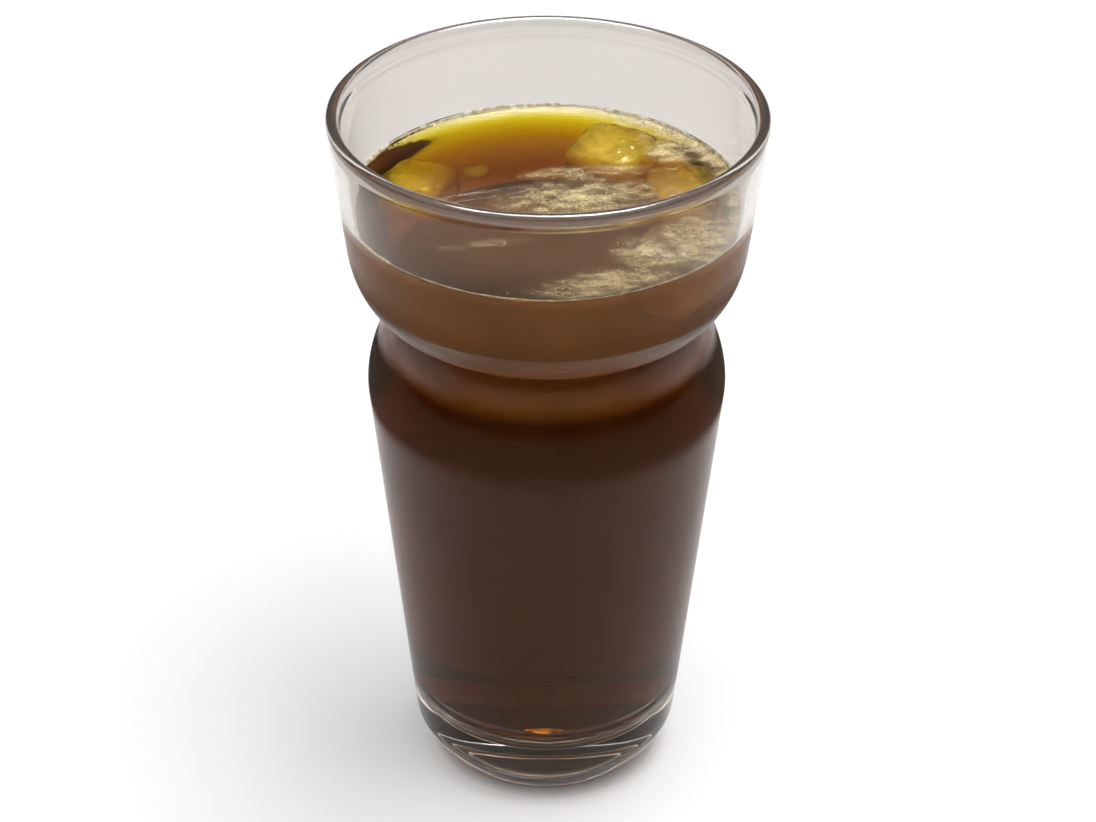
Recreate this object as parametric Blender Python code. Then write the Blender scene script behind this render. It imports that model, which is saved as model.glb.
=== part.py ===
"""Iced black coffee in a tall waisted tumbler with a thick base.

The glass is one turned wall: a rounded heel, a body that widens upwards, a
shoulder that turns in to a narrow waist, and a round bowl with a flared brim.
The coffee is a turned solid that fills the glass up to its level, cut round
the three pieces of ice that stand out of it.
Metres, +Z up, origin at the middle of the foot.
"""
import math

import bmesh
import bpy
import numpy as np

# Outside of the glass: each radius with the height that it is at
HEIGHT = 0.1531
FOOT_RADIUS = 0.0211
HEEL_RADIUS = 0.0282
HEEL_Z = 0.0097
SHOULDER_RADIUS = 0.0369
SHOULDER_Z = 0.0906
WAIST_RADIUS = 0.0281
WAIST_Z = 0.1096
BOWL_RADIUS = 0.0408
BOWL_Z = 0.1255
BRIM_RADIUS = 0.0440
CREASE_HALF = 0.0004

# Inside of the glass
WALL = 0.0024
LIP_RADIUS = WALL / 2
FLOOR_Z = 0.0128
FLOOR_RADIUS = 0.0190
INNER_HEEL_Z = 0.0200
BODY_WALL = 0.0026
INNER_WAIST_RADIUS = 0.0256
INNER_WAIST_Z = 0.1094
INNER_CREASE_HALF = 0.0014

# Squareness of each corner: 2 is a quarter ellipse, 1 a straight chamfer
HEEL_POWER = 1.4
SHOULDER_POWER = 1.55
BOWL_POWER = 2.45
INNER_HEEL_POWER = 1.9

# Drink
LEVEL = 0.1326
GAP = 0.0003

# Ice: width, depth and height, place of the middle, tilts and turn in degrees
ICE_PROUD = 0.0011
ICE_ROUNDING = 0.0034
ICE_TOP_SCALE = 0.94
ICE_BACK = ((0.0175, 0.0170, 0.0150), (0.0132, 0.0249), (6.0, -4.0, -28.0))
ICE_RIGHT = ((0.0155, 0.0170, 0.0150), (0.0278, 0.0080), (-4.0, 5.0, 16.0))
ICE_FRONT = ((0.0135, 0.0145, 0.0130), (0.0235, -0.0165), (7.0, 3.0, -35.0))

AROUND = 64
CORNER_STEPS = 6
LIP_STEPS = 6
ICE_BEVEL_STEPS = 3
MERGE = 0.00001
SMOOTH_ANGLE = math.radians(40)


def clear_scene():
    for item in list(bpy.data.objects):
        bpy.data.objects.remove(item, do_unlink=True)


def make_material(name, color, roughness, transmission, ior):
    material = bpy.data.materials.new(name)
    material.use_nodes = True
    shader = material.node_tree.nodes["Principled BSDF"]
    shader.inputs["Base Color"].default_value = (*color, 1.0)
    shader.inputs["Roughness"].default_value = roughness
    shader.inputs["Metallic"].default_value = 0.0
    shader.inputs["Transmission Weight"].default_value = transmission
    shader.inputs["IOR"].default_value = ior
    return material


def turn(flat, side, slope, power):
    """Corner between a level line through flat and a leaning line through side."""
    angle = np.linspace(0.0, math.pi / 2, CORNER_STEPS + 1)
    along_flat = np.cos(angle) ** (2 / power)
    along_side = np.sin(angle) ** (2 / power)
    z = side[1] + (flat[1] - side[1]) * along_flat
    lean = side[0] + slope * (z - side[1])
    r = flat[0] + (lean - flat[0]) * along_side
    return list(zip(r, z))


def body_slope():
    return (SHOULDER_RADIUS - HEEL_RADIUS) / (SHOULDER_Z - HEEL_Z)


def brim_slope():
    return (BRIM_RADIUS - BOWL_RADIUS) / (HEIGHT - LIP_RADIUS - BOWL_Z)


def outer_outline():
    """Points of the outside from the foot up to the brim."""
    heel = turn((FOOT_RADIUS, 0.0), (HEEL_RADIUS, HEEL_Z), body_slope(), HEEL_POWER)
    shoulder = turn((WAIST_RADIUS, WAIST_Z - CREASE_HALF), (SHOULDER_RADIUS, SHOULDER_Z),
                    body_slope(), SHOULDER_POWER)
    bowl = turn((WAIST_RADIUS, WAIST_Z + CREASE_HALF), (BOWL_RADIUS, BOWL_Z),
                brim_slope(), BOWL_POWER)
    crease = [(WAIST_RADIUS - CREASE_HALF, WAIST_Z)]
    return heel + shoulder[::-1] + crease + bowl


def inner_outline():
    """Points of the inside from the floor up to the brim."""
    low = HEEL_RADIUS - BODY_WALL + body_slope() * (INNER_HEEL_Z - HEEL_Z)
    heel = turn((FLOOR_RADIUS, FLOOR_Z), (low, INNER_HEEL_Z), body_slope(), INNER_HEEL_POWER)
    shoulder = turn((INNER_WAIST_RADIUS, INNER_WAIST_Z - INNER_CREASE_HALF),
                    (SHOULDER_RADIUS - BODY_WALL, SHOULDER_Z), body_slope(), SHOULDER_POWER)
    bowl = turn((INNER_WAIST_RADIUS, INNER_WAIST_Z + INNER_CREASE_HALF),
                (BOWL_RADIUS - WALL, BOWL_Z), brim_slope(), BOWL_POWER)
    return heel + shoulder[::-1] + bowl


def lip_outline():
    """Half round of the brim from the inside over the top to the outside."""
    middle = BRIM_RADIUS - LIP_RADIUS
    angles = np.linspace(math.pi, 0.0, LIP_STEPS + 1)
    return [(middle + LIP_RADIUS * math.cos(a), HEIGHT - LIP_RADIUS + LIP_RADIUS * math.sin(a))
            for a in angles]


def drink_outline():
    """Points of the drink's side, a gap inside the glass, from the floor up to the level."""
    points = np.array([(0.0, FLOOR_Z)] + inner_outline())
    along = np.gradient(points, axis=0)
    along /= np.linalg.norm(along, axis=1)[:, None]
    inward = np.stack([-along[:, 1], along[:, 0]], axis=1)
    moved = points + 1.15 * GAP * inward
    moved[0] = (0.0, FLOOR_Z + 1.15 * GAP)
    moved[1, 1] = FLOOR_Z + 1.15 * GAP
    top = moved[-1, 0] + brim_slope() * (LEVEL - moved[-1, 1])
    return [tuple(p) for p in moved] + [(top, LEVEL)]


def turned(name, outline, material):
    """Turn an outline that starts and ends on the axis into one closed solid."""
    mesh = bpy.data.meshes.new(name)
    points = [(float(r), 0.0, float(z)) for r, z in outline]
    edges = [(i, i + 1) for i in range(len(points) - 1)]
    mesh.from_pydata(points, edges, [])
    item = bpy.data.objects.new(name, mesh)
    bpy.context.scene.collection.objects.link(item)
    mesh.materials.append(material)
    screw = item.modifiers.new("Turn", "SCREW")
    screw.steps = AROUND
    screw.render_steps = AROUND
    screw.use_merge_vertices = True
    screw.merge_threshold = MERGE
    screw.use_smooth_shade = True
    return item


def ice_block(name, size, place, angles, grow, material):
    """Melted block of ice: a box a little narrower at the top, with round edges."""
    bm = bmesh.new()
    bmesh.ops.create_cube(bm, size=1.0)
    grown = [s + 2 * grow for s in size]
    for vert in bm.verts:
        narrow = ICE_TOP_SCALE if vert.co.z > 0 else 1.0
        vert.co.x *= grown[0] * narrow
        vert.co.y *= grown[1] * narrow
        vert.co.z *= grown[2]
    mesh = bpy.data.meshes.new(name)
    bm.to_mesh(mesh)
    bm.free()
    mesh.shade_smooth()
    item = bpy.data.objects.new(name, mesh)
    bpy.context.scene.collection.objects.link(item)
    if material:
        mesh.materials.append(material)
    item.location = (*place, LEVEL + ICE_PROUD - size[2] / 2)
    item.rotation_euler = [math.radians(a) for a in angles]
    bevel = item.modifiers.new("Melted edges", "BEVEL")
    bevel.width = ICE_ROUNDING + grow
    bevel.segments = ICE_BEVEL_STEPS
    bevel.limit_method = "NONE"
    return item


def make_glass():
    material = make_material("glass", (0.96, 0.97, 0.96), 0.02, 1.0, 1.5)
    outline = [(0.0, FLOOR_Z)] + inner_outline() + lip_outline()
    outline += outer_outline()[::-1] + [(0.0, 0.0)]
    return turned("glass", outline, material)


def make_coffee():
    material = make_material("coffee", (0.10, 0.045, 0.018), 0.05, 0.0, 1.33)
    return turned("coffee", [(0.0, LEVEL)] + drink_outline()[::-1], material)


def make_ice(name, shape, coffee):
    """One piece of ice, and the hollow for it in the coffee."""
    material = make_material(name, (0.88, 0.90, 0.90), 0.08, 0.9, 1.31)
    ice_block(name, *shape, 0.0, material)
    cutter = ice_block("hollow_for_" + name, *shape, GAP, None)
    cutter.hide_render = True
    cutter.display_type = "WIRE"
    cut = coffee.modifiers.new("Round " + name, "BOOLEAN")
    cut.operation = "DIFFERENCE"
    cut.solver = "EXACT"
    cut.object = cutter


def main():
    clear_scene()
    make_glass()
    coffee = make_coffee()
    make_ice("ice_back", ICE_BACK, coffee)
    make_ice("ice_right", ICE_RIGHT, coffee)
    make_ice("ice_front", ICE_FRONT, coffee)


main()
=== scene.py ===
"""Iced black coffee in a tall waisted tumbler, dressed over its CAD frame.

Every new surface is a function of two parameters, worked out with numpy as
whole arrays. Metres, +Z up, origin at the middle of the foot.
"""
import math

import bpy
import numpy as np
from bpy.props import FloatProperty, FloatVectorProperty, IntProperty, PointerProperty
from mathutils import Matrix


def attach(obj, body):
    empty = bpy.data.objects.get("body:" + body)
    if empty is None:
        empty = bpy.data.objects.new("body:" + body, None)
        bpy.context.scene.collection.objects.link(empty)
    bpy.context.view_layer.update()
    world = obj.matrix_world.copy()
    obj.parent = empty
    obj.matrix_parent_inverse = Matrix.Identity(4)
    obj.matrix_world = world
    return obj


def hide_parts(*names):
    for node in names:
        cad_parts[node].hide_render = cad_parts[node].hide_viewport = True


bl_info = {
    "name": "Iced Coffee in a Tumbler",
    "version": (1, 0, 0),
    "blender": (4, 5, 0),
    "location": "3D View > Sidebar > Drink",
    "description": "Makes the glass, the drink, its ice, foam and bubbles, and a plain studio",
    "category": "Object",
}

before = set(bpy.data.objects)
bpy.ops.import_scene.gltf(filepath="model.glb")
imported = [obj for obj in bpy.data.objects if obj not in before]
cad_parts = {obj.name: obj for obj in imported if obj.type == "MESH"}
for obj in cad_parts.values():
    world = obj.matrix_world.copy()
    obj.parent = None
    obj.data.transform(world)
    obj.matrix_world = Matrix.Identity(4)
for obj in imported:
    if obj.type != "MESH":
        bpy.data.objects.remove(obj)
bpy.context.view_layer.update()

# Outside of the glass, as the frame has it: radius with the height that it is at
HEIGHT = 0.1531
FOOT = (0.0211, 0.0)
HEEL = (0.0282, 0.0097)
SHOULDER = (0.0369, 0.0906)
WAIST = (0.0281, 0.1096)
BOWL = (0.0408, 0.1255)
BRIM_RADIUS = 0.0440
# Inside of the glass
WALL = 0.0024
LIP_RADIUS = WALL / 2
FLOOR = (0.0190, 0.0128)
INNER_HEEL_Z = 0.0200
BODY_WALL = 0.0026
INNER_WAIST = (0.0256, 0.1094)
# Half height of the plain piece at the waist, outside and inside
CREASE = 0.0004
INNER_CREASE = 0.0014
# Bead inside, just under the brim
BEAD_Z = 0.1501
BEAD_HALF = 0.0009
BEAD_DEPTH = 0.00045
# Squareness of each corner: 2 is a quarter ellipse, 1 a straight chamfer
HEEL_POWER = 1.4
SHOULDER_POWER = 1.55
BOWL_POWER = 2.45
INNER_HEEL_POWER = 1.9

# Outline steps: plain, for the inside of the glass, and for the drink
PLAIN_STEP = 0.0007
FINE_STEP = 0.0004
DRINK_STEP = 0.0011
# Steps of each corner before the outline is made even
HEEL_STEPS = 40
CORNER_STEPS = 60

BODY_SLOPE = (SHOULDER[0] - HEEL[0]) / (SHOULDER[1] - HEEL[1])
BRIM_SLOPE = (BRIM_RADIUS - BOWL[0]) / (HEIGHT - LIP_RADIUS - BOWL[1])

# Ice: width, depth and height, place of the middle, tilts and turn in degrees
ICE_PIECES = {
    "ice_back": ((0.0175, 0.0170, 0.0150), (0.0132, 0.0249), (6.0, -4.0, -28.0)),
    "ice_right": ((0.0155, 0.0170, 0.0150), (0.0278, 0.0080), (-4.0, 5.0, 16.0)),
    "ice_front": ((0.0135, 0.0145, 0.0130), (0.0235, -0.0165), (7.0, 3.0, -35.0)),
}
SUNK_PIECES = {
    "ice_chip": ((0.0052, 0.0038, 0.0030), (-0.0149, 0.0141), (0.0, 4.0, 20.0)),
    "sunk_ice_left": ((0.0150, 0.0160, 0.0150), (-0.0267, 0.0119), (-4.0, -5.0, -24.0)),
}
# How far the first stand out of the drink, how deep the tops of the others lie under it,
# and the number with which those start in the waves that melt each piece differently
ICE_TOP = 0.0011
SUNK_DEPTH = 0.0007
SUNK_SEED = 5

# Surface of the drink: height of its ripples, how far the meniscus reaches in from the
# wall, and how softly the film over the ice joins the level drink
RIPPLE = 0.00003
MENISCUS_REACH = 0.0020
FILM_BLEND = 0.00014

# Foam on the drink: middle, half length, half width, turn in degrees and strength
FOAM_PATCHES = (
    (0.0070, 0.0015, 0.0160, 0.0075, 10.0, 0.58),
    (0.0080, 0.0125, 0.0125, 0.0028, 8.0, 0.50),
    (0.0300, -0.0155, 0.0080, 0.0110, 0.0, 0.95),
    (0.0250, 0.0215, 0.0060, 0.0045, -40.0, 0.70),
    (0.0120, -0.0315, 0.0140, 0.0050, 22.0, 0.90),
    (0.0195, -0.0205, 0.0070, 0.0060, -30.0, 0.75),
    (-0.0110, -0.0160, 0.0100, 0.0020, 14.0, 0.35),
    (-0.0240, 0.0010, 0.0060, 0.0016, -30.0, 0.35),
)
# Foam along the wall: its two ends, middle of the band in from the wall, width, strength
EDGE_FOAM = (math.radians(-25.0), math.radians(72.0))
EDGE_FOAM_GAP = 0.0014
EDGE_FOAM_WIDTH = 0.0022
EDGE_FOAM_STRENGTH = 0.85

# Glass, as (height, number) stops: share of its mirror that is calmed, roughness at the waist,
# and share of the painted light over the waist crease and of the painted reflection on the
# shoulder
CALMED_MIRROR = ((0.012, 0.0), (0.020, 0.35), (0.086, 0.35), (0.090, 0.96),
                 (0.1015, 0.96), (0.1035, 0.10), (0.109, 0.15), (0.113, 0.62),
                 (0.121, 0.88), (0.126, 0.50), (0.132, 0.50), (0.1335, 0.0))
WAIST_ROUGHNESS = ((0.100, 0.0), (0.105, 0.20), (0.121, 0.20), (0.127, 0.0))
PAINTED_CREASE_LIGHT = ((0.1075, 0.0), (0.1095, 0.45), (0.1145, 0.45), (0.1180, 0.0))
PAINTED_SHOULDER_REFLECTION = ((0.1025, 0.0), (0.1045, 0.42), (0.1090, 0.42), (0.1120, 0.0))
# Painted light and reflection: from the middle out to the sides, and from its full strength on
# the near side back to its end. The brown paints light over the waist crease, the paler colour
# paints a reflection on the shoulder's sides
PAINTED_REFLECTION_SIDES = (0.014, 0.028)
PAINTED_NEAR_SIDE = (-0.004, 0.008)
PAINTED_CREASE_COLOR = (0.28, 0.11, 0.04)
PAINTED_REFLECTION_COLOR = (0.50, 0.35, 0.32)
# Heights from dry to wet glass, and from plain glass to light led up inside the wall
WET_EDGE = (0.1330, 0.1310)
WET_TINT = (0.88, 0.83, 0.76)
LED_UP = (0.122, 0.126)
FOOT_BLEND = 0.003
FOOT_TINT = (1.0, 0.78, 0.60)
BRIM_SHEEN = (1.0, 1.0, 1.0)

# Coffee: share of haze as (height, share) stops. Partly the drink's own haze and partly painted
# light and shade: it rises from about 103 to 115 mm to paint light round the shoulder and waist,
# and dips a little from 92 to 100 mm to paint a darker band
COFFEE_HAZE_AND_PAINTED_LIGHT = ((0.0125, 0.35), (0.0150, 0.09), (0.022, 0.055), (0.050, 0.062),
               (0.088, 0.062), (0.092, 0.055), (0.1000, 0.060), (0.1028, 0.36),
               (0.107, 0.40), (0.1105, 0.62), (0.1145, 0.60), (0.1175, 0.22),
               (0.124, 0.25), (0.131, 0.25), (0.1315, 0.40))
COFFEE_SHEEN = (0.40, 0.40, 0.40)
# Ranges over which the haze changes: heights of faces that count as the top, radius
# towards the wall, place towards the back, and heights for rays that come from inside
TOP_FACES = (0.122, 0.127)
CLEAR_RIM = (0.0265, 0.0370)
CLEAR_BACK = (-0.004, 0.012)
CLEAR_INSIDE = (0.016, 0.022)
# Heights over the level between which the drink over the ice turns uneven
OVER_ICE = (0.0004, 0.0012)

# Studio: painted glow of the floor by radius, which lifts its shadows, sky by height with what
# its near side and its two sides add to the height, and bounces of light
FLOOR_GLOW_REACH = (0.022, 0.060)
FLOOR_GLOW = (0.22, 0.20)
SKY_STOPS = ((0.0, 0.03), (0.70, 0.04), (0.84, 0.95), (1.0, 1.05))
SKY_NEAR = 0.25
SKY_SIDES = 0.30
BOUNCES = 16
GLOSSY_BOUNCES = 8
# Lights: name, place, size, power, whether it lights matt surfaces, and whether it shows
# through clear ones. All face one point
LIGHT_AIM = (0.0, 0.0, 0.1)
LIGHTS = (
    ("key", (0.30, 0.05, 1.30), (1.10, 0.60), 9.5, True, True),
    ("ceiling_glint", (0.0, 0.02, 1.32), (1.10, 0.50), 24.0, False, False),
    ("small_glint", (0.10, 0.14, 1.25), (0.05, 0.05), 2.4, False, False),
    ("side_glint", (-0.42, -0.20, 1.15), (0.05, 0.05), 2.4, False, False),
    ("rim_glint", (0.0, 0.02, 1.33), (1.10, 0.50), 18.0, False, True),
)


# Sizes and colours

class TumblerSettings(bpy.types.PropertyGroup):
    around: IntProperty(name="Steps around", description="Faces round the glass", default=192)
    ior: FloatProperty(name="Index", description="Refractive index of the glass", default=1.5)
    tint: FloatVectorProperty(name="Tint", description="Colour of the glass", subtype="COLOR",
                              default=(0.68, 0.64, 0.60))
    sheen: FloatVectorProperty(name="Reflection", description="Colour of plain reflections",
                               subtype="COLOR", default=(0.25, 0.18, 0.15))
    waviness: FloatProperty(name="Waviness", description="Strength of the moulded wall's waves",
                            default=0.02)


class DrinkSettings(bpy.types.PropertyGroup):
    level: FloatProperty(name="Level", description="Height of the drink's surface",
                         default=0.1326, unit="LENGTH")
    meniscus: FloatProperty(name="Meniscus", description="How far the drink climbs the far wall",
                            default=0.0018, unit="LENGTH")
    near_meniscus: FloatProperty(name="Near meniscus", description="The same at the near wall",
                                 default=0.0005, unit="LENGTH")
    around: IntProperty(name="Steps around", description="Faces round the drink", default=360)
    ior: FloatProperty(name="Index", description="Refractive index of the drink", default=1.333)
    density: FloatProperty(name="Density", description="Absorption of light per metre",
                           default=980.0)
    absorb: FloatVectorProperty(name="Let through", description="Colour that passes a thin layer",
                                subtype="COLOR", default=(0.93, 0.875, 0.05))
    haze: FloatVectorProperty(name="Haze", description="Colour of the fine solids",
                              subtype="COLOR", default=(1.00, 0.37, 0.03))
    skin: FloatVectorProperty(name="Skin", description="Colour of the haze on the surface",
                              subtype="COLOR", default=(0.66, 0.36, 0.20))


class IceSettings(bpy.types.PropertyGroup):
    film: FloatProperty(name="Film", description="Thickness of the drink over the ice",
                        default=0.0003, unit="LENGTH")
    dents: FloatProperty(name="Dents", description="Depth of the small dents in the wet ice",
                         default=0.0001, unit="LENGTH")
    squareness: FloatProperty(name="Squareness", description="2 is a ball, 8 is a sharp box",
                              default=5.0)
    melt: FloatProperty(name="Melting", description="Depth of the dents as a share of the size",
                        default=0.05)
    ior: FloatProperty(name="Index", description="Refractive index of ice", default=1.31)
    tint: FloatVectorProperty(name="Tint", description="Colour of the ice", subtype="COLOR",
                              default=(0.98, 0.82, 0.25))


class FoamSettings(bpy.types.PropertyGroup):
    light: FloatVectorProperty(name="Light", description="Thick foam", subtype="COLOR",
                               default=(1.00, 0.84, 0.42))
    dark: FloatVectorProperty(name="Dark", description="Thin foam", subtype="COLOR",
                              default=(0.34, 0.22, 0.12))
    bubbles: IntProperty(name="Bubbles", description="Bubbles at the surface", default=260)


class StudioSettings(bpy.types.PropertyGroup):
    floor: FloatVectorProperty(name="Floor", description="Colour of the floor", subtype="COLOR",
                               default=(0.88, 0.88, 0.88))
    lens: FloatProperty(name="Lens", description="Focal length in millimetres", default=108.48)
    distance: FloatProperty(name="Distance", description="Camera to the middle of the brim",
                            default=0.6540, unit="LENGTH")
    elevation: FloatProperty(name="Elevation", description="Height of the camera over the brim",
                             default=math.radians(26.950), subtype="ANGLE")
    pitch: FloatProperty(name="Pitch", description="Camera's angle below the horizon",
                         default=math.radians(32.164), subtype="ANGLE")
    roll: FloatProperty(name="Roll", description="Turn of the camera about its line of sight",
                        default=math.radians(0.325), subtype="ANGLE")
    aside: FloatProperty(name="Aside", description="Camera's place to the right of the axis",
                         default=0.0003, unit="LENGTH")


# Surfaces

def corner(flat, side, slope, power, steps):
    """Corner of an outline between a level line and a leaning line.

    Formula: the two shares are the cosine and sine of an angle from 0 to 90
    degrees, raised to 2 / power; the height goes from the flat point to the
    side point with the first, the radius from the flat point to the leaning
    line with the second.
    """
    angle = np.linspace(0.0, math.pi / 2, steps + 1)
    z = side[1] + (flat[1] - side[1]) * np.cos(angle) ** (2 / power)
    lean = side[0] + slope * (z - side[1])
    r = flat[0] + (lean - flat[0]) * np.sin(angle) ** (2 / power)
    return np.stack([r, z], axis=1)


def full_turn(steps):
    """Angles of equal steps once round."""
    return np.linspace(0.0, 2 * math.pi, steps, endpoint=False)


def soften(points, rounds):
    """Outline with each inner point moved to a quarter, half, quarter mean of three."""
    for _ in range(rounds):
        middle = 0.25 * points[:-2] + 0.5 * points[1:-1] + 0.25 * points[2:]
        points = np.concatenate([points[:1], middle, points[-1:]])
    return points


def even(points, step):
    """Outline read again at equal steps of its length."""
    lengths = np.r_[0.0, np.cumsum(np.linalg.norm(np.diff(points, axis=0), axis=1))]
    at = np.linspace(0.0, lengths[-1], int(math.ceil(lengths[-1] / step)) + 1)
    return np.stack([np.interp(at, lengths, points[:, k]) for k in (0, 1)], axis=1)


def outer_outline():
    """Outside of the glass from the middle of the foot to the brim."""
    low_waist = (WAIST[0], WAIST[1] - CREASE)
    high_waist = (WAIST[0], WAIST[1] + CREASE)
    parts = [
        np.array([[0.0, 0.0]]),
        corner(FOOT, HEEL, BODY_SLOPE, HEEL_POWER, HEEL_STEPS),
        corner(low_waist, SHOULDER, BODY_SLOPE, SHOULDER_POWER, CORNER_STEPS)[::-1],
        corner(high_waist, BOWL, BRIM_SLOPE, BOWL_POWER, CORNER_STEPS),
        np.array([[BRIM_RADIUS, HEIGHT - LIP_RADIUS]]),
    ]
    return soften(even(np.concatenate(parts), PLAIN_STEP), rounds=2)


def inner_outline(step, bead=False):
    """Inside of the glass from the middle of its floor to the brim.

    With a bead, a bell curve of BEAD_DEPTH bulges inwards just under the brim.
    """
    low = (HEEL[0] - BODY_WALL + BODY_SLOPE * (INNER_HEEL_Z - HEEL[1]), INNER_HEEL_Z)
    low_waist = (INNER_WAIST[0], INNER_WAIST[1] - INNER_CREASE)
    high_waist = (INNER_WAIST[0], INNER_WAIST[1] + INNER_CREASE)
    parts = [
        np.array([[0.0, FLOOR[1]]]),
        corner(FLOOR, low, BODY_SLOPE, INNER_HEEL_POWER, HEEL_STEPS),
        corner(low_waist, (SHOULDER[0] - BODY_WALL, SHOULDER[1]), BODY_SLOPE,
               SHOULDER_POWER, CORNER_STEPS)[::-1],
        corner(high_waist, (BOWL[0] - WALL, BOWL[1]), BRIM_SLOPE, BOWL_POWER, CORNER_STEPS),
        np.array([[BRIM_RADIUS - WALL, HEIGHT - LIP_RADIUS]]),
    ]
    outline = soften(even(np.concatenate(parts), step), rounds=8)
    if bead:
        share = np.exp(-(((outline[:, 1] - BEAD_Z) / BEAD_HALF) ** 2))
        outline[:, 0] -= BEAD_DEPTH * share
    return outline


def lip_outline(steps=16):
    """Half round of the brim from the outside over the top to the inside."""
    angle = np.linspace(0.0, math.pi, steps + 1)[1:-1]
    r = BRIM_RADIUS - LIP_RADIUS + LIP_RADIUS * np.cos(angle)
    z = HEIGHT - LIP_RADIUS + LIP_RADIUS * np.sin(angle)
    return np.stack([r, z], axis=1)


def turned(outline, around):
    """Surface of an outline turned round Z: radius times cosine and sine, and height."""
    angle = full_turn(around)
    r, z = outline[:, :1], outline[:, 1:]
    return np.stack([r * np.cos(angle), r * np.sin(angle), z + 0 * angle], axis=2)


def closed_grid(rings, start=0):
    """Vertices and faces of rings of points, each ring closed round and both ends poles.

    The first and last ring are each a single point repeated; one vertex
    stands for it, with a fan of triangles.
    """
    count, around = rings.shape[:2]
    inner = rings[1:-1].reshape(-1, 3)
    verts = np.concatenate([rings[:1, 0], inner, rings[-1:, 0]])
    row = np.arange(count - 3)[:, None] * around + 1 + start
    col = np.arange(around)[None, :]
    after = (col + 1) % around
    quads = np.stack([row + col, row + after, row + around + after, row + around + col], axis=2)
    low = np.stack([0 * col[0] + start, 1 + start + after[0], 1 + start + col[0]], axis=1)
    last = len(verts) - 1 + start
    top = last - around
    high = np.stack([0 * col[0] + last, top + col[0], top + after[0]], axis=1)
    return verts, quads.reshape(-1, 4), np.concatenate([low, high])


def ring_quads(rows, around, closed=False):
    """Faces between rings of points that follow one another, each ring closed round."""
    row = np.arange(rows if closed else rows - 1)[:, None]
    col = np.arange(around)[None, :]
    here, ahead, after = row * around, (row + 1) % rows * around, (col + 1) % around
    quads = np.stack([here + col, ahead + col, ahead + after, here + after], axis=2)
    return quads.reshape(-1, 4)


def add_mesh(name, verts, quads, material, triangles=()):
    """New object made of points and faces, in one material."""
    mesh = bpy.data.meshes.new(name)
    faces = quads.tolist() + np.asarray(triangles, dtype=int).tolist()
    mesh.from_pydata(verts.tolist(), [], faces)
    mesh.materials.append(material)
    item = bpy.data.objects.new(name, mesh)
    bpy.context.scene.collection.objects.link(item)
    return item


def make_piece(name, parts, material, replaced=()):
    """Object from a list of closed grids, with smooth faces, riding on the one body."""
    verts, quads, triangles, start = [], [], [], 0
    for rings in parts:
        v, q, t = closed_grid(rings, start)
        verts.append(v)
        quads.append(q)
        triangles.append(t)
        start += len(v)
    piece = add_mesh(name, np.concatenate(verts), np.concatenate(quads), material,
                     np.concatenate(triangles))
    piece.data.shade_smooth()
    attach(piece, "root")
    if replaced:
        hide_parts(*replaced)
    return piece


# Ice shapes

def turn_matrix(degrees):
    """Rotation matrix of turns about X, then Y, then Z."""
    x, y, z = (math.radians(a) for a in degrees)
    cx, cy, cz = math.cos(x), math.cos(y), math.cos(z)
    sx, sy, sz = math.sin(x), math.sin(y), math.sin(z)
    rx = np.array([[1, 0, 0], [0, cx, -sx], [0, sx, cx]])
    ry = np.array([[cy, 0, sy], [0, 1, 0], [-sy, 0, cy]])
    rz = np.array([[cz, -sz, 0], [sz, cz, 0], [0, 0, 1]])
    return rz @ ry @ rx


def ice_frame(shape, depth):
    """Middle, half sizes and turn of a piece whose top is depth over the level."""
    size, place, degrees = shape
    level = bpy.context.scene.drink.level
    middle = np.array([place[0], place[1], level + depth - size[2] / 2])
    return middle, np.array(size) / 2, turn_matrix(degrees)


def ice_reach(direction, half, seed):
    """Distance from the middle to the melted surface along unit directions.

    Formula: one over the power mean of the direction's parts divided by the
    half sizes, which is a rounded box, times one plus three slow sine waves.
    """
    ice = bpy.context.scene.ice
    n = ice.squareness
    box = 1 / (np.abs(direction / half) ** n).sum(axis=-1) ** (1 / n)
    x, y, z = direction[..., 0], direction[..., 1], direction[..., 2]
    waves = (np.sin(3.1 * x + 2.3 * y + seed) + np.sin(4.3 * y - 2.9 * z + 2 * seed)
             + np.sin(5.2 * z + 3.7 * x + 3 * seed)) / 3
    return box * (1 + ice.melt * (waves - 1.0))


def directions(rows, around):
    """Unit vectors over the whole sphere, ring by ring from the lowest to the highest."""
    polar = np.linspace(math.pi, 0.0, rows)[:, None]
    angle = full_turn(around)[None, :]
    return np.stack([np.sin(polar) * np.cos(angle), np.sin(polar) * np.sin(angle),
                     np.cos(polar) + 0 * angle], axis=2)


def ice_rings(shape, depth, seed, grow, rows=56, around=96):
    """Surface of one piece: reach times direction over all angles, turned and placed."""
    middle, half, turn = ice_frame(shape, depth)
    direction = directions(rows, around)
    reach = ice_reach(direction, half, seed) + grow
    return (direction * reach[..., None]) @ turn.T + middle


def all_ice(grow=0.0):
    """Name and surface of each piece of ice, with the frame's node that it replaces."""
    for seed, (name, shape) in enumerate(ICE_PIECES.items()):
        yield name, ice_rings(shape, ICE_TOP, seed, grow), (name,)
    for seed, (name, shape) in enumerate(SUNK_PIECES.items(), SUNK_SEED):
        yield name, ice_rings(shape, -SUNK_DEPTH, seed, grow), ()


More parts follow.
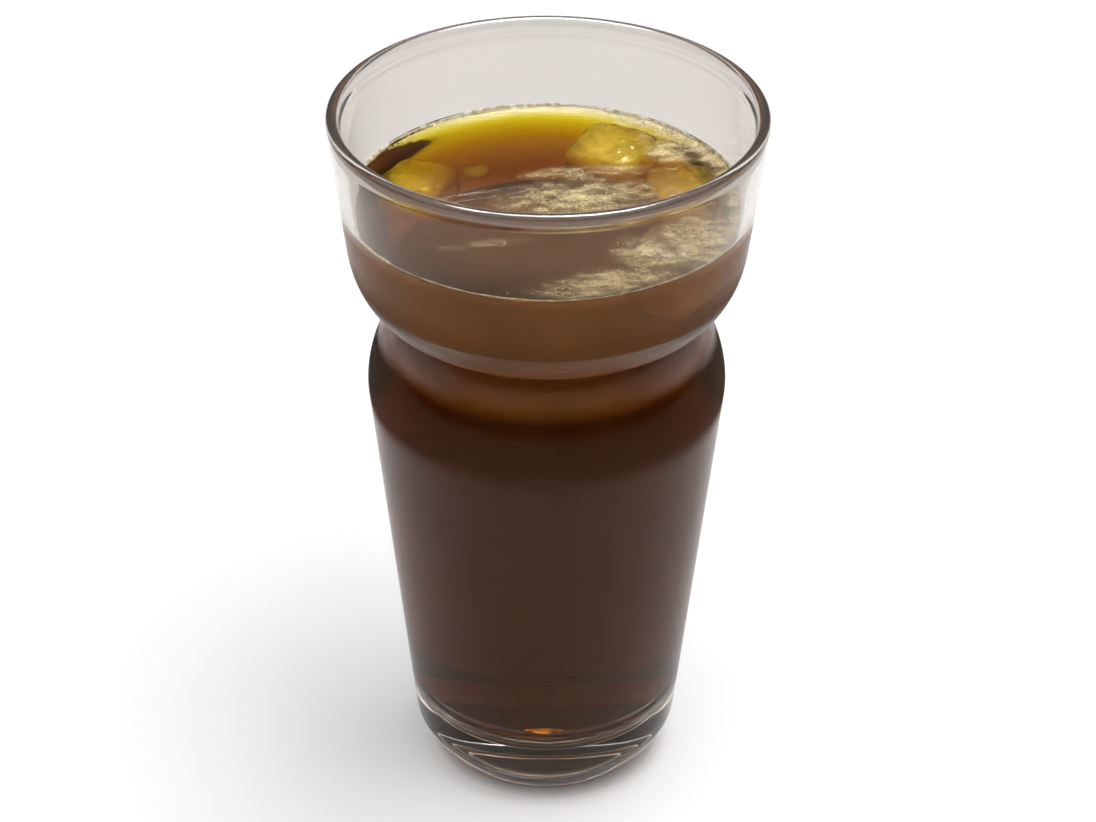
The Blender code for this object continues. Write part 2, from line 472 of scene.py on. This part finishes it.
def ice_top(x, y, shape, depth, seed, halvings=24):
    """Height of a piece's upper side over points of the plane, far below where it isn't.

    Formula: a range of heights is halved again and again. The half is kept at
    which the point's distance from the middle passes the reach in its direction.
    """
    middle, half, turn = ice_frame(shape, depth)
    low = np.full(x.shape, middle[2])
    high = np.full(x.shape, middle[2] + 1.6 * half[2])

    def inside(z):
        local = (np.stack([x, y, z], axis=-1) - middle) @ turn
        length = np.linalg.norm(local, axis=-1) + 1e-9
        return length < ice_reach(local / length[..., None], half, seed)

    under = inside(low)
    for _ in range(halvings):
        mid = (low + high) / 2
        hit = inside(mid)
        low = np.where(hit, mid, low)
        high = np.where(hit, high, mid)
    return np.where(under, low, -1.0)


def climb(angle):
    """Height of the meniscus round the wall: from the near to the far value as a sine."""
    drink = bpy.context.scene.drink
    share = 0.5 + 0.5 * np.sin(angle)
    return drink.near_meniscus + (drink.meniscus - drink.near_meniscus) * share


def surface_height(x, y, radius):
    """Height of the drink's surface.

    Formula: the level, plus a meniscus that falls off from the wall as an
    exponential and is higher on the far side, plus faint ripples, joined
    softly with the film over each piece of ice that stands out, which is
    dented by two crossed sine waves.
    """
    drink, ice = bpy.context.scene.drink, bpy.context.scene.ice
    r = np.hypot(x, y)
    ripples = RIPPLE * np.sin(260 * x + 110 * y) + RIPPLE * np.sin(210 * y - 150 * x + 1.0)
    meniscus = climb(np.arctan2(y, x)) * np.exp((r - radius) / MENISCUS_REACH)
    z = drink.level + meniscus + ripples
    for seed, shape in enumerate(ICE_PIECES.values()):
        dents = np.sin(1500 * x + 800 * y + seed) + np.sin(1700 * y - 1000 * x + 2 * seed)
        top = ice_top(x, y, shape, ICE_TOP, seed) + ice.film + ice.dents * dents
        over = (top - z) / FILM_BLEND
        z = z + FILM_BLEND * np.logaddexp(0.0, np.clip(over, -40, 40))
    return z


# Foam shapes

def streaks(x, y):
    """Drawn-out cloudiness from 0 to 1: sine waves read at places moved by slower waves."""
    u = x + 0.0025 * np.sin(190 * y + 1.3) + 0.0012 * np.sin(520 * y - 230 * x)
    v = y + 0.0022 * np.sin(170 * x + 0.4) + 0.0011 * np.sin(470 * x + 260 * y)
    waves = (np.sin(520 * u + 900 * v) + 0.7 * np.sin(1250 * v - 310 * u + 2.0)
             + 0.5 * np.sin(1700 * u + 1300 * v + 0.7))
    return 0.5 + waves / 4.4


def foam_amount(x, y, radius):
    """Share of foam over points of the plane.

    Formula: the largest of bell curves over each patch's turned ellipse and a
    narrow band along part of the wall, thinned out by the streaks.
    """
    amount = np.zeros_like(x)
    for cx, cy, length, width, degrees, strength in FOAM_PATCHES:
        c, s = math.cos(math.radians(degrees)), math.sin(math.radians(degrees))
        u = ((x - cx) * c + (y - cy) * s) / length
        v = ((y - cy) * c - (x - cx) * s) / width
        amount = np.maximum(amount, strength * np.exp(-(u * u + v * v) ** 1.3))
    r, angle = np.hypot(x, y), np.arctan2(y, x)
    middle, half = sum(EDGE_FOAM) / 2, (EDGE_FOAM[1] - EDGE_FOAM[0]) / 2
    band = np.exp(-(((radius - EDGE_FOAM_GAP - r) / EDGE_FOAM_WIDTH) ** 2))
    reach = np.exp(-(((angle - middle) / half) ** 6))
    amount = np.maximum(amount, EDGE_FOAM_STRENGTH * band * reach)
    return np.clip(amount * (0.60 + 0.60 * streaks(x, y)), 0.0, 1.0)


def ring_radius(angle):
    """Thickness of the line of froth and painted meniscus highlight along the wall: wider at the
    back, with three waves.
    """
    waves = (1 + 0.35 * np.sin(7 * angle + 1) + 0.25 * np.sin(17 * angle)
             + 0.20 * np.sin(41 * angle + 2))
    return (0.00022 + 0.00010 * np.sin(angle)) * waves


def wall_radius(z):
    """Inner radius of the glass at a height."""
    inside = inner_outline(DRINK_STEP)
    upper = inside[:, 1] > WAIST[1]
    return np.interp(z, inside[upper, 1], inside[upper, 0])


def drink_radius():
    """Radius of the drink where it meets the far wall."""
    drink = bpy.context.scene.drink
    return float(wall_radius(drink.level + drink.meniscus))


# Materials

class Nodes:
    """Short way to add and join the nodes of a material or of the sky."""

    def __init__(self, owner, place="Object"):
        owner.use_nodes = True
        self.tree = owner.node_tree
        self.place = self.add("ShaderNodeTexCoord").outputs[place]

    def add(self, kind, **values):
        node = self.tree.nodes.new(kind)
        for key, value in values.items():
            setattr(node, key, value)
        return node

    def join(self, source, target):
        self.tree.links.new(source, target)

    def noise(self, scale, detail=2.0, roughness=0.5, stretch=(1, 1, 1)):
        """Value of a noise over the piece's own place, with scale in waves per metre."""
        mapping = self.add("ShaderNodeMapping")
        mapping.inputs["Scale"].default_value = stretch
        self.join(self.place, mapping.inputs["Vector"])
        node = self.add("ShaderNodeTexNoise")
        node.inputs["Scale"].default_value = scale
        node.inputs["Detail"].default_value = detail
        node.inputs["Roughness"].default_value = roughness
        self.join(mapping.outputs["Vector"], node.inputs["Vector"])
        return node.outputs["Fac"]

    def math(self, operation, a, b=0.0, c=0.0):
        node = self.add("ShaderNodeMath", operation=operation)
        for socket, value in zip(node.inputs, (a, b, c)):
            if isinstance(value, (int, float)):
                socket.default_value = value
            else:
                self.join(value, socket)
        return node.outputs[0]

    def spread(self, value, low, high, to_low=0.0, to_high=1.0):
        """Value moved from one range to another and held at its ends."""
        node = self.add("ShaderNodeMapRange")
        node.inputs["From Min"].default_value = low
        node.inputs["From Max"].default_value = high
        node.inputs["To Min"].default_value = to_low
        node.inputs["To Max"].default_value = to_high
        self.join(value, node.inputs["Value"])
        return node.outputs["Result"]

    def profile(self, value, stops):
        """Number read along a broken line through (value, number) stops."""
        low, high = stops[0][0], stops[-1][0]
        grey = [((at - low) / (high - low), (v, v, v)) for at, v in stops]
        return self.ramp(self.spread(value, low, high), grey)

    def ramp(self, value, stops):
        node = self.add("ShaderNodeValToRGB")
        ramp = node.color_ramp
        while len(ramp.elements) < len(stops):
            ramp.elements.new(0.5)
        for element, (at, color) in zip(ramp.elements, stops):
            element.position = at
            element.color = (*color, 1.0)
        self.join(value, node.inputs["Fac"])
        return node.outputs["Color"]

    def tones(self, value, low, first, high, second):
        """From a first colour to a second while a value goes from low to high."""
        return self.ramp(value, [(low, tuple(first)), (high, tuple(second))])

    def mix(self, share, first, second, blend="MIX"):
        """Colour between a socket's and a plain one."""
        node = self.add("ShaderNodeMixRGB", blend_type=blend)
        self.join(share, node.inputs["Fac"])
        self.join(first, node.inputs["Color1"])
        node.inputs["Color2"].default_value = (*second, 1.0)
        return node.outputs[0]

    def mix_shaders(self, share, first, second):
        node = self.add("ShaderNodeMixShader")
        for source, socket in zip((share, first, second), node.inputs):
            self.join(source, socket)
        return node.outputs[0]

    def split(self, vector):
        """The x, y and z of a vector."""
        node = self.add("ShaderNodeSeparateXYZ")
        self.join(vector, node.inputs[0])
        return tuple(node.outputs)

    def radius(self):
        """Distance of a point from the axis, in metres."""
        x, y, _ = self.split(self.place)
        square = self.math("ADD", self.math("MULTIPLY", x, x), self.math("MULTIPLY", y, y))
        return self.math("SQRT", square)


class Finish(Nodes):
    """Nodes of a new material, with its main shader and its output."""

    def __init__(self, name):
        self.material = bpy.data.materials.new(name)
        super().__init__(self.material)
        self.shader = self.tree.nodes["Principled BSDF"]
        self.output = self.tree.nodes["Material Output"]

    def bump(self, value, strength, distance):
        node = self.add("ShaderNodeBump")
        node.inputs["Strength"].default_value = strength
        node.inputs["Distance"].default_value = distance
        self.join(value, node.inputs["Height"])
        self.join(node.outputs["Normal"], self.shader.inputs["Normal"])


def darker(color, share):
    return tuple(c * share for c in color)


def glass_color(nodes, z, settings):
    """The glass's tint, another where the drink wets it, and a trace of brown in the foot."""
    low = darker(settings.tint, 0.985)
    plain = nodes.tones(nodes.noise(30.0), 0.3, low, 0.7, settings.tint)
    wet = nodes.mix(nodes.spread(z, *WET_EDGE), plain, WET_TINT)
    deep = nodes.spread(z, FLOOR[1] + FOOT_BLEND, FLOOR[1] - FOOT_BLEND)
    return nodes.mix(deep, wet, FOOT_TINT, "MULTIPLY")


def calmed_mirror(nodes, z, color, rough, settings):
    """The full glass mixed with plain refraction, which has no mirror of its own.

    Rays inside the wall near the drink's level keep the full glass, because
    plain refraction would swallow the light that the wall leads up to the brim.
    The square root of the colour is what the full glass tints passing light with.
    """
    calm = nodes.add("ShaderNodeBsdfRefraction")
    calm.inputs["IOR"].default_value = settings.ior
    root = nodes.add("ShaderNodeGamma")
    root.inputs["Gamma"].default_value = 0.5
    nodes.join(color, root.inputs["Color"])
    nodes.join(root.outputs[0], calm.inputs["Color"])
    nodes.join(rough, calm.inputs["Roughness"])
    inside = nodes.add("ShaderNodeNewGeometry").outputs["Backfacing"]
    led_up = nodes.math("MULTIPLY", inside, nodes.spread(z, *LED_UP))
    share = nodes.math("MULTIPLY", nodes.profile(z, CALMED_MIRROR),
                       nodes.math("SUBTRACT", 1.0, led_up))
    return nodes.mix_shaders(share, nodes.shader.outputs[0], calm.outputs[0])


def painted_crease_light_and_reflection(nodes, z):
    """Share and shader of painted light on the near side: brown over the waist crease, and a pale
    painted reflection on the sides of the shoulder.
    """
    x, y, _ = nodes.split(nodes.place)
    side = nodes.spread(nodes.math("ABSOLUTE", x), *PAINTED_REFLECTION_SIDES)
    waist = nodes.profile(z, PAINTED_CREASE_LIGHT)
    shoulder = nodes.math("MULTIPLY", nodes.profile(z, PAINTED_SHOULDER_REFLECTION), side)
    near = nodes.spread(y, *PAINTED_NEAR_SIDE, 1.0, 0.0)
    share = nodes.math("MULTIPLY", nodes.math("MAXIMUM", waist, shoulder), near)
    # Matt shader that carries the painted light and the painted reflection
    veil = nodes.add("ShaderNodeBsdfPrincipled")
    veil.inputs["Roughness"].default_value = 0.4
    color = nodes.tones(side, 0.0, PAINTED_CREASE_COLOR, 1.0, PAINTED_REFLECTION_COLOR)
    nodes.join(color, veil.inputs["Base Color"])
    return share, veil.outputs[0]


def clear_glass(settings, name, sheen, clearness):
    """Pressed clear glass: faint waves in the wall, rougher at the waist, with painted light and
    a painted reflection over the waist and shoulder.
    """
    nodes = Finish(name)
    shader = nodes.shader.inputs
    shader["Transmission Weight"].default_value = clearness
    shader["IOR"].default_value = settings.ior
    shader["Specular Tint"].default_value = (*sheen, 1.0)
    z = nodes.split(nodes.place)[2]
    color = glass_color(nodes, z, settings)
    nodes.join(color, shader["Base Color"])
    fine = nodes.spread(nodes.noise(90.0, 3.0), 0.3, 0.8, 0.0, 0.012)
    rough = nodes.math("ADD", fine, nodes.profile(z, WAIST_ROUGHNESS))
    nodes.join(rough, shader["Roughness"])
    nodes.bump(nodes.noise(55.0, 1.0, 0.4, (1, 1, 0.5)), settings.waviness, 0.002)
    calmed = calmed_mirror(nodes, z, color, rough, settings)
    # Painted brown light over the waist crease and painted reflection on the shoulder's sides, on
    # the near side only
    share, veil = painted_crease_light_and_reflection(nodes, z)
    nodes.join(nodes.mix_shaders(share, calmed, veil), nodes.output.inputs["Surface"])
    return nodes.material


def coffee_haze(nodes, settings):
    """Share and shader of the brown haze in the coffee.

    Its share goes by height, which also paints bands of light and shade. On top of the drink it
    clears towards the back and the wall, and rays that meet it from inside see little of it.
    """
    _, y, z = nodes.split(nodes.place)
    geometry = nodes.add("ShaderNodeNewGeometry").outputs
    upward = nodes.spread(nodes.split(geometry["Normal"])[2], 0.3, 0.8)
    on_top = nodes.math("MULTIPLY", upward, nodes.spread(z, *TOP_FACES))
    cloud = nodes.noise(60.0, 3.0)
    dark = tuple(c * k for c, k in zip(settings.haze, (0.85, 0.75, 0.7)))
    brown = nodes.tones(cloud, 0.3, dark, 0.7, settings.haze)
    hazy = nodes.add("ShaderNodeBsdfPrincipled")
    hazy.inputs["Roughness"].default_value = 0.25
    hazy.inputs["IOR"].default_value = settings.ior
    nodes.join(nodes.mix(on_top, brown, tuple(settings.skin)), hazy.inputs["Base Color"])
    near_wall = nodes.spread(nodes.radius(), *CLEAR_RIM, 0.0, 0.30)
    back = nodes.spread(y, *CLEAR_BACK, 0.36, 0.88)
    cleared = nodes.math("MULTIPLY", on_top, nodes.math("ADD", near_wall, back))
    left = nodes.math("MAXIMUM", nodes.math("SUBTRACT", 1.0, cleared), 0.05)
    # The height profile paints bands of light and shade into the haze
    share = nodes.math("MULTIPLY", nodes.profile(z, COFFEE_HAZE_AND_PAINTED_LIGHT), left)
    from_inside = nodes.math("MULTIPLY", geometry["Backfacing"],
                             nodes.spread(z, *CLEAR_INSIDE, 0.0, 0.9))
    share = nodes.math("MULTIPLY", share, nodes.math("SUBTRACT", 1.0, from_inside))
    clouded = nodes.math("MULTIPLY", share, nodes.spread(cloud, 0.2, 0.8, 0.85, 1.15))
    return clouded, hazy.outputs[0]


def black_coffee(settings):
    """Coffee: clear liquid that lets gold light through thin layers, with a brown haze."""
    nodes = Finish("black_coffee")
    clear = nodes.shader.inputs
    clear["Base Color"].default_value = (1, 1, 1, 1)
    clear["Transmission Weight"].default_value = 1.0
    clear["IOR"].default_value = settings.ior
    clear["Roughness"].default_value = 0.0
    clear["Specular Tint"].default_value = (*COFFEE_SHEEN, 1.0)
    share, haze = coffee_haze(nodes, settings)
    nodes.join(nodes.mix_shaders(share, nodes.shader.outputs[0], haze),
               nodes.output.inputs["Surface"])
    z = nodes.split(nodes.place)[2]
    low, high = (settings.level + rise for rise in OVER_ICE)
    over_ice = nodes.math("MULTIPLY", nodes.noise(650.0, 2.0), nodes.spread(z, low, high))
    nodes.bump(over_ice, 0.6, 0.0007)
    volume = nodes.add("ShaderNodeVolumeAbsorption")
    volume.inputs["Color"].default_value = (*settings.absorb, 1.0)
    volume.inputs["Density"].default_value = settings.density
    nodes.join(volume.outputs[0], nodes.output.inputs["Volume"])
    return nodes.material


def clear_ice(settings):
    """Melting ice: clear, wet, with faint ripples and a cloudy trace."""
    nodes = Finish("clear_ice")
    shader = nodes.shader.inputs
    shader["Transmission Weight"].default_value = 0.90
    shader["IOR"].default_value = settings.ior
    low = darker(settings.tint, 0.72)
    tone = nodes.tones(nodes.noise(190.0, 4.0), 0.40, low, 0.60, settings.tint)
    nodes.join(tone, shader["Base Color"])
    nodes.join(nodes.spread(nodes.noise(240.0, 3.0), 0.35, 0.75, 0.0, 0.06), shader["Roughness"])
    nodes.bump(nodes.noise(260.0, 3.0), 0.6, 0.0012)
    return nodes.material


def tan_foam(settings):
    """Thin coffee foam: tan, torn into specks, more see-through where there is less."""
    nodes = Finish("tan_foam")
    shader = nodes.shader.inputs
    amount = nodes.add("ShaderNodeAttribute", attribute_name="foam").outputs["Fac"]
    fine = nodes.noise(1500.0, 4.0, 0.75)
    drawn = nodes.noise(480.0, 4.0, 0.62, (0.50, 1.0, 1.0))
    grain = nodes.math("ADD", nodes.math("MULTIPLY", fine, 0.45),
                       nodes.math("MULTIPLY", drawn, 0.55))
    torn = nodes.math("ADD", nodes.math("MULTIPLY", amount, 0.55), grain)
    specks = nodes.spread(torn, 0.64, 1.00, 0.0, 0.66)
    veil = nodes.math("MULTIPLY", amount, 0.24)
    nodes.join(nodes.math("ADD", specks, veil), shader["Alpha"])
    nodes.join(nodes.tones(grain, 0.38, settings.dark, 0.62, settings.light),
               shader["Base Color"])
    shader["Roughness"].default_value = 0.45
    nodes.bump(fine, 0.3, 0.0003)
    return nodes.material


def froth_and_meniscus_glint(settings):
    """Pale froth of the line where the drink meets the wall, near white so that it also paints
    the meniscus's bright highlight.
    """
    nodes = Finish("pale_froth_and_meniscus_glint")
    shader = nodes.shader.inputs
    grain = nodes.noise(700.0, 3.0, 0.6)
    # The near-white colour also paints the meniscus's bright highlight
    pale = tuple(0.8 + 0.2 * c for c in settings.light)
    nodes.join(nodes.tones(grain, 0.35, settings.light, 0.65, pale), shader["Base Color"])
    nodes.join(nodes.spread(grain, 0.35, 0.65, 0.25, 0.75), shader["Alpha"])
    shader["Roughness"].default_value = 0.3
    return nodes.material


def bubble_skin(settings):
    """Wet skin of a bubble: nearly clear, faintly tan, with a sharp highlight."""
    nodes = Finish("bubble_skin")
    shader = nodes.shader.inputs
    grain = nodes.noise(1200.0, 2.0)
    nodes.join(nodes.tones(grain, 0.3, settings.dark, 0.7, settings.light),
               shader["Base Color"])
    nodes.join(nodes.spread(grain, 0.3, 0.7, 0.22, 0.5), shader["Alpha"])
    shader["Roughness"].default_value = 0.06
    return nodes.material


def floor_material(color):
    """Plain pale matt surface with the faintest grain, a faint painted glow that lifts its
    shadows, and a painted shadow under the foot.
    """
    nodes = Finish("pale_floor")
    shader = nodes.shader.inputs
    r = nodes.radius()
    # Painted shadow: the floor's colour and glow are darker under the foot
    shade = nodes.spread(r, FOOT[0] - 0.002, FOOT[0] + 0.004, 0.15, 1.0)
    plain = nodes.tones(nodes.noise(40.0, 4.0), 0.3, darker(color, 0.985), 0.7, color)
    scaled = nodes.add("ShaderNodeVectorMath", operation="SCALE")
    nodes.join(plain, scaled.inputs[0])
    nodes.join(shade, scaled.inputs["Scale"])
    nodes.join(scaled.outputs[0], shader["Base Color"])
    nodes.join(scaled.outputs[0], shader["Emission Color"])
    # Painted glow, a little stronger near the foot, that lifts the floor's shadows
    nodes.join(nodes.spread(r, *FLOOR_GLOW_REACH, *FLOOR_GLOW), shader["Emission Strength"])
    shader["Roughness"].default_value = 0.7
    shader["Specular IOR Level"].default_value = 0.2
    return nodes.material


# Operators

class DRINK_OT_glass(bpy.types.Operator):
    """Make the tumbler: foot, outside, brim and inside as one turned wall"""
    bl_idname = "drink.glass"
    bl_label = "Tumbler"

    # Height of the brim that mirrors more, in radii of its half round
    brim_height = 2.2

    def execute(self, context):
        settings = context.scene.tumbler
        inside = inner_outline(FINE_STEP, bead=True)[::-1]
        outline = np.concatenate([outer_outline(), lip_outline(), inside])
        wall = clear_glass(settings, "clear_glass", tuple(settings.sheen), 1.0)
        piece = make_piece("tumbler", [turned(outline, settings.around)], wall,
                           ("glass",))
        piece.data.materials.append(clear_glass(settings, "clear_brim", BRIM_SHEEN, 0.90))
        middle = np.empty(3 * len(piece.data.polygons))
        piece.data.polygons.foreach_get("center", middle)
        on_brim = middle[2::3] > HEIGHT - self.brim_height * LIP_RADIUS
        piece.data.polygons.foreach_set("material_index", on_brim.astype(np.int32))
        return {"FINISHED"}


class DRINK_OT_coffee(bpy.types.Operator):
    """Make the coffee, just into the wall, with its meniscus and a hollow round each ice"""
    bl_idname = "drink.coffee"
    bl_label = "Coffee"

    # How far the drink reaches into the glass and into the ice, so that no gap shows
    into_wall = 0.00012
    into_ice = 0.00008
    # Depth and rings of the collar under the meniscus, and rings of the top, which
    # grow closer towards the wall
    collar_depth = 0.0010
    collar_rings = 5
    cover_rings = 112
    cover_power = 1.25

    def make_side(self, settings, angle):
        """Rings of the side: the glass's inside moved into the wall, then the collar."""
        side = inner_outline(DRINK_STEP)
        slope = np.gradient(side, axis=0)
        slope /= np.linalg.norm(slope, axis=1)[:, None]
        side = side + self.into_wall * np.stack([slope[:, 1], -slope[:, 0]], axis=1)
        side[0, 0] = 0.0
        low = side[side[:, 1] < settings.level - self.collar_depth]
        share = np.linspace(0.0, 1.0, self.collar_rings + 1)[1:, None]
        z = low[-1, 1] + share * (settings.level + climb(angle) - low[-1, 1])
        r = wall_radius(z) + self.into_wall
        collar = np.stack([r * np.cos(angle), r * np.sin(angle), z], axis=2)
        return np.concatenate([turned(low, settings.around), collar]), r[-1]

    def execute(self, context):
        settings = context.scene.drink
        angle = full_turn(settings.around)
        side, edge = self.make_side(settings, angle)
        share = np.linspace(0.0, 1.0, self.cover_rings)
        r = edge * (1 - share ** self.cover_power)[1:, None]
        x, y = r * np.cos(angle), r * np.sin(angle)
        cover = np.stack([x, y, surface_height(x, y, edge)], axis=2)
        hollows = [rings[:, ::-1] for _, rings, _ in all_ice(-self.into_ice)]
        make_piece("coffee_drink", [np.concatenate([side, cover])] + hollows,
                   black_coffee(settings), ("coffee",))
        return {"FINISHED"}


class DRINK_OT_ice(bpy.types.Operator):
    """Make the melting ice, at the surface and just under it"""
    bl_idname = "drink.ice"
    bl_label = "Ice"

    def execute(self, context):
        material = clear_ice(context.scene.ice)
        for name, rings, replaced in all_ice():
            label = name + "_melted" if replaced else name
            make_piece(label, [rings], material, replaced)
        return {"FINISHED"}


class DRINK_OT_foam(bpy.types.Operator):
    """Make the torn film of foam on the drink and the line of froth, with its painted meniscus
    highlight, along the wall
    """
    bl_idname = "drink.foam"
    bl_label = "Foam"

    # Film: steps round and along, free middle and free edge, height over the drink,
    # least share of foam that is made, and thickness
    film_steps = (640, 130)
    film_middle = 0.0004
    film_edge = 0.0005
    film_rise = 0.00012
    film_least = 0.10
    film_thickness = 0.00005
    # Line of froth and painted meniscus highlight: steps along and round, gap to the wall and
    # height of its waves
    line_steps = (720, 8)
    line_gap = 0.00018
    line_waves = 0.00012

    def execute(self, context):
        drink = context.scene.drink
        self.make_film(drink_radius(), tan_foam(context.scene.foam))
        self.make_line(drink, froth_and_meniscus_glint(context.scene.foam))
        return {"FINISHED"}

    def make_film(self, radius, material):
        """Film over the drink's surface, cut away where there is hardly any foam."""
        around, rows = self.film_steps
        angle = full_turn(around)[None, :]
        r = np.linspace(self.film_middle, radius - self.film_edge, rows)[:, None]
        x, y = r * np.cos(angle), r * np.sin(angle)
        amount = foam_amount(x, y, radius)
        z = surface_height(x, y, radius) + self.film_rise * (0.4 + amount)
        verts = np.stack([x, y, z], axis=2).reshape(-1, 3)
        flat = amount.reshape(-1)
        quads = ring_quads(rows, around)
        quads = quads[flat[quads].max(axis=1) > self.film_least]
        used, index = np.unique(quads, return_inverse=True)
        film = add_mesh("foam_film", verts[used], index.reshape(-1, 4), material)
        film.data.shade_smooth()
        film.data.attributes.new("foam", "FLOAT", "POINT").data.foreach_set("value", flat[used])
        wall = film.modifiers.new("Thickness", "SOLIDIFY")
        wall.thickness = self.film_thickness
        wall.offset = -1.0
        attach(film, "root")

    def make_line(self, drink, material):
        """Uneven tube of froth and painted highlight that follows the meniscus along the wall."""
        around, sides = self.line_steps
        angle = full_turn(around)[:, None]
        turn = full_turn(sides)[None, :]
        thick = ring_radius(angle)
        middle = wall_radius(drink.level + climb(angle)) - self.line_gap - 0.5 * thick
        r = middle + thick * np.cos(turn)
        z = (drink.level + 0.9 * climb(angle) + self.line_waves * np.sin(5 * angle)
             + 1.4 * thick * np.sin(turn))
        verts = np.stack([r * np.cos(angle), r * np.sin(angle), z], axis=2).reshape(-1, 3)
        line = add_mesh("froth_and_glint_line", verts, ring_quads(around, sides, closed=True), material)
        line.data.shade_smooth()
        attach(line, "root")


class DRINK_OT_bubbles(bpy.types.Operator):
    """Make small bubbles, half out of the drink, in the foam and along the wall"""
    bl_idname = "drink.bubbles"
    bl_label = "Bubbles"

    seed = 11
    # Places tried for each bubble, chance of one outside the foam, and gap to the wall
    tries = 60
    stray = 0.004
    gap = 0.0008
    # Radius of the smallest, what the largest has more, and rise as a share of the radius
    smallest = 0.00010
    more = 0.00028
    rise = 0.3

    def execute(self, context):
        settings = context.scene.foam
        radius = drink_radius()
        rng = np.random.default_rng(self.seed)
        tries = settings.bubbles * self.tries
        r = (radius - self.gap) * np.sqrt(rng.random(tries))
        angle = 2 * math.pi * rng.random(tries)
        x, y = r * np.cos(angle), r * np.sin(angle)
        pick = rng.random(tries) < foam_amount(x, y, radius) ** 2 + self.stray
        x, y = x[pick][:settings.bubbles], y[pick][:settings.bubbles]
        size = self.smallest + self.more * rng.random(len(x)) ** 3
        z = surface_height(x, y, radius)
        ball = directions(7, 12)
        parts = [ball * s + np.array([a, b, c + self.rise * s])
                 for a, b, c, s in zip(x, y, z, size)]
        make_piece("bubbles", parts, bubble_skin(settings))
        return {"FINISHED"}


def add_light(name, place, size, power):
    """Area light that faces the middle of the drink."""
    data = bpy.data.lights.new(name, "AREA")
    data.shape = "RECTANGLE"
    data.size, data.size_y = size
    data.energy = power
    light = bpy.data.objects.new(name, data)
    bpy.context.scene.collection.objects.link(light)
    light.location = place
    way = np.array(LIGHT_AIM, dtype=float) - np.array(place, dtype=float)
    flat = math.hypot(way[0], way[1])
    light.rotation_euler = (math.atan2(flat, -way[2]), 0.0, math.atan2(way[0], -way[1]) + math.pi)
    return light


class DRINK_OT_studio(bpy.types.Operator):
    """Make the floor, the sky, the lights and the camera"""
    bl_idname = "drink.studio"
    bl_label = "Studio"

    # Floor: radius, steps along and round, height of its top and of its underside
    floor_radius = 1.6
    floor_steps = (24, 96)
    floor_top = -0.0002
    floor_under = -0.01

    def make_floor(self, color):
        rows, around = self.floor_steps
        radius = np.linspace(0.0, self.floor_radius, rows)[:, None]
        angle = full_turn(around)[None, :]
        rings = np.stack([radius * np.cos(angle), radius * np.sin(angle),
                          0 * radius + 0 * angle + self.floor_top], axis=2)
        under = np.array([[[0.0, 0.0, self.floor_under]]]) + 0 * rings[:1]
        verts, quads, triangles = closed_grid(np.concatenate([under, rings[:0:-1], rings[:1]]))
        floor = add_mesh("floor", verts, quads, floor_material(color), triangles)

    def make_sky(self):
        """Grey dome, dark below and bright above. Its near side and sides brighten lower."""
        world = bpy.data.worlds.new("studio")
        bpy.context.scene.world = world
        nodes = Nodes(world, "Generated")
        x, y, z = nodes.split(nodes.place)
        height = nodes.math("MULTIPLY_ADD", y, -SKY_NEAR, z)
        height = nodes.math("MULTIPLY_ADD", nodes.math("ABSOLUTE", x), SKY_SIDES, height)
        background = nodes.tree.nodes["Background"].inputs
        nodes.join(nodes.profile(height, SKY_STOPS), background["Color"])
        background["Strength"].default_value = 1.0

    def make_camera(self, settings):
        data = bpy.data.cameras.new("camera")
        data.sensor_width = 36.0
        data.lens = settings.lens
        data.clip_start = 0.01
        data.clip_end = 20.0
        camera = bpy.data.objects.new("camera", data)
        bpy.context.scene.collection.objects.link(camera)
        camera.location = (settings.aside, -settings.distance * math.cos(settings.elevation),
                           HEIGHT + settings.distance * math.sin(settings.elevation))
        tilt = Matrix.Rotation(math.pi / 2 - settings.pitch, 3, "X")
        camera.rotation_euler = (tilt @ Matrix.Rotation(settings.roll, 3, "Z")).to_euler()
        bpy.context.scene.camera = camera

    def execute(self, context):
        scene = context.scene
        self.make_floor(tuple(scene.studio.floor))
        self.make_sky()
        self.make_camera(scene.studio)
        for name, place, size, power, on_matt, through in LIGHTS:
            light = add_light(name, place, size, power)
            light.visible_diffuse = on_matt
            light.visible_transmission = through
        scene.view_settings.view_transform = "Standard"
        scene.cycles.max_bounces = BOUNCES
        scene.cycles.transmission_bounces = BOUNCES
        scene.cycles.glossy_bounces = GLOSSY_BOUNCES
        return {"FINISHED"}


class DRINK_PT_panel(bpy.types.Panel):
    """Panel with one button for each step"""
    bl_idname = "DRINK_PT_panel"
    bl_label = "Drink"
    bl_space_type = "VIEW_3D"
    bl_region_type = "UI"
    bl_category = "Drink"

    def draw(self, context):
        for operator in OPERATORS:
            self.layout.operator(operator.bl_idname)


GROUPS = {"tumbler": TumblerSettings, "drink": DrinkSettings, "ice": IceSettings,
          "foam": FoamSettings, "studio": StudioSettings}
OPERATORS = [DRINK_OT_glass, DRINK_OT_coffee, DRINK_OT_ice, DRINK_OT_foam,
             DRINK_OT_bubbles, DRINK_OT_studio]


def register():
    for name, group in GROUPS.items():
        bpy.utils.register_class(group)
        setattr(bpy.types.Scene, name, PointerProperty(type=group))
    for item in OPERATORS + [DRINK_PT_panel]:
        bpy.utils.register_class(item)


def unregister():
    for item in [DRINK_PT_panel] + OPERATORS[::-1]:
        bpy.utils.unregister_class(item)
    for name, group in GROUPS.items():
        delattr(bpy.types.Scene, name)
        bpy.utils.unregister_class(group)


def main():
    register()
    for operator in OPERATORS:
        group, action = operator.bl_idname.split(".")
        getattr(getattr(bpy.ops, group), action)()


if __name__ == "__main__":
    main()
